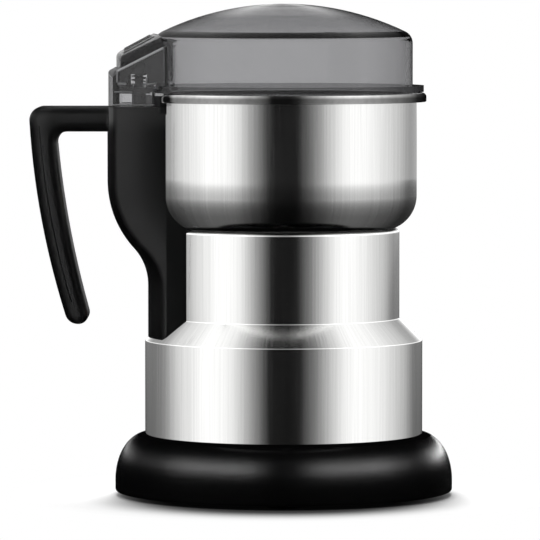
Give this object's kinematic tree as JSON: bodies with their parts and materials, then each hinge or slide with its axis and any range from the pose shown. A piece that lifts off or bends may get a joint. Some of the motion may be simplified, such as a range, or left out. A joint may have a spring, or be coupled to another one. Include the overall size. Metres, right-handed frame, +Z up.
{
  "type": "electric spice grinder",
  "caption": "Electric spice grinder with a round base, stepped steel body, cross-blade cup, smoked lift-off lid with a sprung side button, and a hooked side handle.",
  "frame": {"origin": "on the vertical axis of the round body, at the surface the rubber feet stand on", "axes": "+Z up along the motor shaft, -X towards the handle and button, -Y the front, +Y the back with the cord inlet"},
  "size_m": [0.152, 0.1216, 0.177],
  "materials": {
    "rubber": "black moulded rubber, dull",
    "base_plastic": "black injection-moulded ABS, fine texture with a soft sheen",
    "screw_steel": "zinc-plated steel screw",
    "body_steel": "stainless steel, brushed upright on the drum and neck",
    "carrier_plastic": "black glass-filled plastic",
    "cup_steel": "stainless steel, finely brushed, bright",
    "rim_chrome": "polished stainless trim",
    "bush_brass": "turned brass",
    "handle_plastic": "black injection-moulded ABS, fine spark-eroded texture",
    "switch_plastic": "dark phenolic switch case",
    "terminal_brass": "tinned brass",
    "lever_steel": "spring steel",
    "button_plastic": "black ABS, satin",
    "lid_clear": "smoked clear polycarbonate, polished",
    "bracket_steel": "pressed zinc-plated steel",
    "bearing_bronze": "sintered bronze",
    "lamination_steel": "stacked silicon-steel laminations",
    "copper_wire": "enamelled copper wire",
    "commutator_copper": "copper bars",
    "shaft_steel": "ground steel shaft",
    "fan_plastic": "natural nylon fan",
    "brush_carbon": "graphite",
    "capacitor_plastic": "yellow film capacitor case",
    "terminal_plastic": "white nylon terminal block",
    "blade_steel": "hardened stainless steel, ground edges"
  },
  "bodies": {
    "body": {"rubber_feet": "rubber", "bottom_plate": "base_plastic", "bottom_screws": "screw_steel", "base_housing": "base_plastic", "cord_gland": "rubber", "tie_screws": "screw_steel", "body_shell": "body_steel", "motor_carrier": "carrier_plastic", "grinding_cup": "cup_steel", "rim_ring": "rim_chrome", "cup_gasket": "rubber", "cup_bush": "bush_brass", "cup_nut": "screw_steel", "handle": "handle_plastic", "column_screws": "screw_steel", "switch_body": "switch_plastic", "switch_screws": "screw_steel", "switch_terminals": "terminal_brass", "upper_bracket": "bracket_steel", "lower_bracket": "bracket_steel", "bracket_screws": "screw_steel", "motor_bolts": "screw_steel", "upper_bearing": "bearing_bronze", "lower_bearing": "bearing_bronze", "stator_core": "lamination_steel", "field_coils": "copper_wire", "brush_holders": "terminal_brass", "carbon_brushes": "brush_carbon", "brush_springs": "lever_steel", "capacitor": "capacitor_plastic", "terminal_block": "terminal_plastic"},
    "lid": {"lid": "lid_clear", "spring_bar": "lid_clear", "button_spring": "lever_steel"},
    "button": {"lid_button": "button_plastic"},
    "plunger": {"plunger": "button_plastic"},
    "switch_lever": {"switch_lever": "lever_steel"},
    "switch_pin": {"switch_pin": "switch_plastic"},
    "rotor": {"motor_shaft": "shaft_steel", "armature_core": "lamination_steel", "armature_windings": "copper_wire", "commutator": "commutator_copper", "cooling_fan": "fan_plastic", "blade_collar": "carrier_plastic", "lower_blade": "blade_steel", "upper_blade": "blade_steel", "blade_washer": "blade_steel", "blade_nut": "blade_steel"}
  },
  "joints": [
    {"name": "lid_lift", "type": "slide", "parent": "body", "child": "lid", "axis": [0, 0, 1], "range_m": [0, 0.06]},
    {"name": "button_press", "type": "slide", "parent": "lid", "child": "button", "axis": [0, 0, -1], "range_m": [0, 0.003], "stiffness_N_per_m": 400, "deforming": ["button_spring"]},
    {"name": "plunger_slide", "type": "slide", "parent": "body", "child": "plunger", "axis": [0, 0, -1], "range_m": [0, 0.003]},
    {"name": "lever_pivot", "type": "hinge", "parent": "body", "child": "switch_lever", "pos_m": [-0.0522, -0.0082, 0.1257], "axis": [-1, 0, 0], "range_deg": [0, 19.3]},
    {"name": "switch_pin_slide", "type": "slide", "parent": "body", "child": "switch_pin", "axis": [0, 0, -1], "range_m": [0, 0.00092]},
    {"name": "rotor_spin", "type": "hinge", "parent": "body", "child": "rotor", "pos_m": [0, 0, 0.1029], "axis": [0, 0, 1], "continuous": true}
  ],
  "couplings": [
    {"joint": "plunger_slide", "follows": "button_press", "ratio": 1},
    {"joint": "lever_pivot", "follows": "button_press", "rad_per_m": 111.12},
    {"joint": "switch_pin_slide", "follows": "button_press", "ratio": 0.3}
  ]
}
